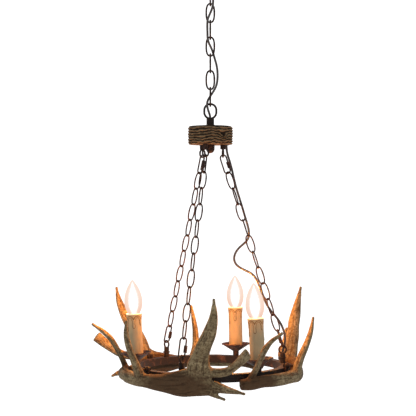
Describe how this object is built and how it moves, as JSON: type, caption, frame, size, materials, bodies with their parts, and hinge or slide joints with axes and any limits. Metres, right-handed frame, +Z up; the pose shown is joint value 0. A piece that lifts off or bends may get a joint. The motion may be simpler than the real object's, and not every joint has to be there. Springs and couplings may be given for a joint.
{
  "type": "antler chandelier",
  "caption": "Ceiling chandelier: an iron ring with candle-style lamps and cast antlers, hung on chains from a carved log hub and a ceiling rose.",
  "frame": {"origin": "on the ceiling, at the middle of the ceiling bracket's feet", "axes": "+Z up into the ceiling; +X to the right and +Y away in the picture's view"},
  "size_m": [0.432, 0.439, 0.8323],
  "materials": {
    "iron": "rust-brown antiqued paint",
    "chain": "dark brown paint",
    "zinc": "zinc plated",
    "cast_resin": "cast antler, brown stain rubbed off the high places",
    "log": "dark carved bark",
    "wax": "waxy cream with drips",
    "holder_plastic": "moulded",
    "bulb_glass": "frosted, lit",
    "cap_metal": "rolled thread",
    "cord": "smooth sheath",
    "rubber": "matt",
    "terminal_plastic": "moulded"
  },
  "bodies": {
    "ceiling_mount": {"ceiling_bracket": "zinc", "stem_locknut": "zinc", "terminal_block": "terminal_plastic", "rose_loop": "iron"},
    "rose": {"rose_cup": "iron"},
    "rose_ring_nut": {"rose_nut": "iron"},
    "main_chain": {"main_link_1": "chain", "main_link_2": "chain", "main_link_3": "chain", "main_link_4": "chain", "main_link_5": "chain", "main_link_6": "chain", "main_link_7": "chain", "main_cord": "cord"},
    "hub": {"hub_loop": "iron", "hub_log": "log", "hub_washer": "iron", "hub_dome_nut": "iron", "hub_eyebolts": "iron", "cord_grommet": "rubber"},
    "chain_a": {"top_quick_link_a": "chain", "side_chain_a": "chain", "foot_quick_link_a": "chain"},
    "upper_sleeve_a": {"top_quick_nut_a": "chain"},
    "lower_sleeve_a": {"foot_quick_nut_a": "chain"},
    "chain_b": {"top_quick_link_b": "chain", "side_chain_b": "chain", "foot_quick_link_b": "chain"},
    "upper_sleeve_b": {"top_quick_nut_b": "chain"},
    "lower_sleeve_b": {"foot_quick_nut_b": "chain"},
    "chain_c": {"top_quick_link_c": "chain", "side_chain_c": "chain", "foot_quick_link_c": "chain"},
    "upper_sleeve_c": {"top_quick_nut_c": "chain"},
    "lower_sleeve_c": {"foot_quick_nut_c": "chain"},
    "ring_frame": {"ring": "iron", "ring_eyebolts": "iron", "ring_nuts": "iron", "ring_wiring": "cord", "ring_grommet": "rubber", "side_cord": "cord", "antler_a": "cast_resin", "antler_b": "cast_resin", "antler_c": "cast_resin", "antler_arms": "iron", "antler_screws": "iron", "lamp_necks": "iron", "lampholders": "holder_plastic", "drip_pan_1": "iron", "candle_1": "wax", "drip_pan_2": "iron", "candle_2": "wax", "drip_pan_3": "iron", "candle_3": "wax"},
    "bulb_carrier_1": {"bulb_cap_1": "cap_metal"},
    "bulb_1": {"bulb_glass_1": "bulb_glass"},
    "bulb_carrier_2": {"bulb_cap_2": "cap_metal"},
    "bulb_2": {"bulb_glass_2": "bulb_glass"},
    "bulb_carrier_3": {"bulb_cap_3": "cap_metal"},
    "bulb_3": {"bulb_glass_3": "bulb_glass"}
  },
  "joints": [
    {"name": "rose_nut_screw_down", "type": "slide", "parent": "ceiling_mount", "child": "rose_ring_nut", "axis": [0, 0, -1], "range_m": [0, 0.006]},
    {"name": "rose_slide_down", "type": "slide", "parent": "ceiling_mount", "child": "rose", "axis": [0, 0, -1], "range_m": [0, 0.006]},
    {"name": "pendant_swing", "type": "hinge", "parent": "ceiling_mount", "child": "main_chain", "pos_m": [0, 0, -0.0576], "axis": [1, 0, 0], "range_deg": [-30, 30], "deforming": ["main_cord"]},
    {"name": "pendant_twist", "type": "hinge", "parent": "main_chain", "child": "hub", "pos_m": [0, 0, -0.29], "axis": [0, 0, 1], "range_deg": [-30, 30]},
    {"name": "ring_twist", "type": "hinge", "parent": "hub", "child": "ring_frame", "pos_m": [0, 0, -0.7895], "axis": [0, 0, 1], "range_deg": [-20, 20], "stiffness_Nm_per_rad": 0.29, "deforming": ["side_cord"]},
    {"name": "chain_a_swing", "type": "hinge", "parent": "hub", "child": "chain_a", "pos_m": [-0.01549, 0.01962, -0.38515], "axis": [0, 0, 1], "range_deg": [-24.3, 24.3]},
    {"name": "upper_sleeve_a_run", "type": "slide", "parent": "chain_a", "child": "upper_sleeve_a", "axis": [0.1891, -0.2395, 0.9523], "range_m": [0, 0.0085]},
    {"name": "lower_sleeve_a_run", "type": "slide", "parent": "chain_a", "child": "lower_sleeve_a", "axis": [0.1891, -0.2395, 0.9523], "range_m": [0, 0.0085]},
    {"name": "chain_b_swing", "type": "hinge", "parent": "hub", "child": "chain_b", "pos_m": [-0.00924, -0.02323, -0.38515], "axis": [0, 0, 1], "range_deg": [-24.3, 24.3]},
    {"name": "upper_sleeve_b_run", "type": "slide", "parent": "chain_b", "child": "upper_sleeve_b", "axis": [0.1128, 0.2835, 0.9523], "range_m": [0, 0.0085]},
    {"name": "lower_sleeve_b_run", "type": "slide", "parent": "chain_b", "child": "lower_sleeve_b", "axis": [0.1128, 0.2835, 0.9523], "range_m": [0, 0.0085]},
    {"name": "chain_c_swing", "type": "hinge", "parent": "hub", "child": "chain_c", "pos_m": [0.02474, 0.00361, -0.38515], "axis": [0, 0, 1], "range_deg": [-24.3, 24.3]},
    {"name": "upper_sleeve_c_run", "type": "slide", "parent": "chain_c", "child": "upper_sleeve_c", "axis": [-0.302, -0.0441, 0.9523], "range_m": [0, 0.0085]},
    {"name": "lower_sleeve_c_run", "type": "slide", "parent": "chain_c", "child": "lower_sleeve_c", "axis": [-0.302, -0.0441, 0.9523], "range_m": [0, 0.0085]},
    {"name": "bulb_1_rise", "type": "slide", "parent": "ring_frame", "child": "bulb_carrier_1", "axis": [-0.0523, 0, 0.9986], "range_m": [0, 0.014]},
    {"name": "bulb_1_turn", "type": "hinge", "parent": "bulb_carrier_1", "child": "bulb_1", "pos_m": [-0.1472, -0.02079, -0.69962], "axis": [-0.0523, 0, 0.9986], "range_deg": [0, 1790]},
    {"name": "bulb_2_rise", "type": "slide", "parent": "ring_frame", "child": "bulb_carrier_2", "axis": [-0.014, 0, 0.9999], "range_m": [0, 0.014]},
    {"name": "bulb_2_turn", "type": "hinge", "parent": "bulb_carrier_2", "child": "bulb_2", "pos_m": [0.05199, 0.13379, -0.69951], "axis": [-0.014, 0, 0.9999], "range_deg": [0, 1790]},
    {"name": "bulb_3_rise", "type": "slide", "parent": "ring_frame", "child": "bulb_carrier_3", "axis": [-0.0541, 0, 0.9985], "range_m": [0, 0.014]},
    {"name": "bulb_3_turn", "type": "hinge", "parent": "bulb_carrier_3", "child": "bulb_3", "pos_m": [0.08438, -0.11301, -0.69963], "axis": [-0.0541, 0, 0.9985], "range_deg": [0, 1790]}
  ],
  "couplings": [
    {"joint": "rose_slide_down", "follows": "rose_nut_screw_down", "ratio": 1},
    {"joint": "chain_a_swing", "follows": "ring_twist", "ratio": 1.2101},
    {"joint": "chain_b_swing", "follows": "ring_twist", "ratio": 1.2101},
    {"joint": "chain_c_swing", "follows": "ring_twist", "ratio": 1.2101},
    {"joint": "bulb_1_turn", "follows": "bulb_1_rise", "rad_per_m": 2226.5},
    {"joint": "bulb_2_turn", "follows": "bulb_2_rise", "rad_per_m": 2226.5},
    {"joint": "bulb_3_turn", "follows": "bulb_3_rise", "rad_per_m": 2226.5}
  ]
}
